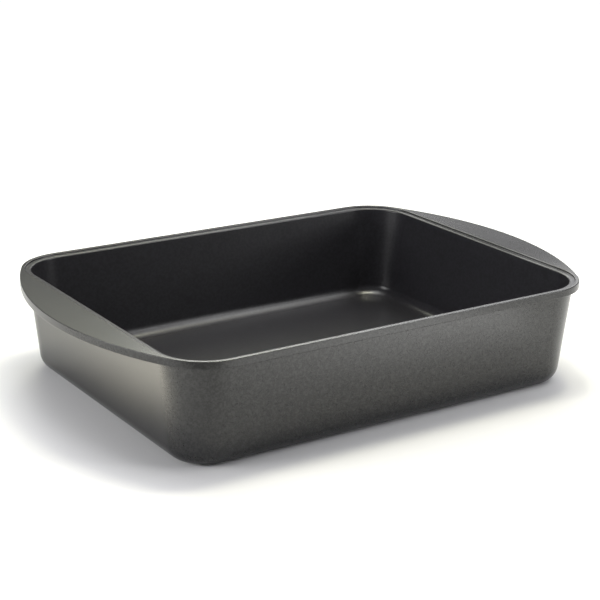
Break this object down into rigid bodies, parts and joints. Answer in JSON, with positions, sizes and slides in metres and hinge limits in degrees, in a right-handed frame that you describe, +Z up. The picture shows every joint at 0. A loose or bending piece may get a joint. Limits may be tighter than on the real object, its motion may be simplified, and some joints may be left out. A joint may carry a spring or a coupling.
{
  "type": "roasting pan",
  "caption": "Deep rectangular cast roasting pan with rounded corners, leaning walls, a stepped rim and crescent handles level with the rim at the short ends.",
  "frame": {"origin": "centre of the underside, on the surface that the pan stands on", "axes": "+X along the pan from handle to handle, +Y across it, +Z up out of the opening"},
  "size_m": [0.395, 0.2668, 0.0775],
  "materials": {
    "cast_aluminium": "bare cast aluminium, ground flat on the underside",
    "exterior_coating": "sprayed and baked charcoal grey coating, satin, with a fine pebbled grain",
    "interior_nonstick": "baked black non-stick coating, smooth satin"
  },
  "bodies": {
    "root": {"cast_pan_body": "cast_aluminium", "exterior_coating": "exterior_coating", "interior_nonstick_coating": "interior_nonstick"}
  },
  "joints": []
}
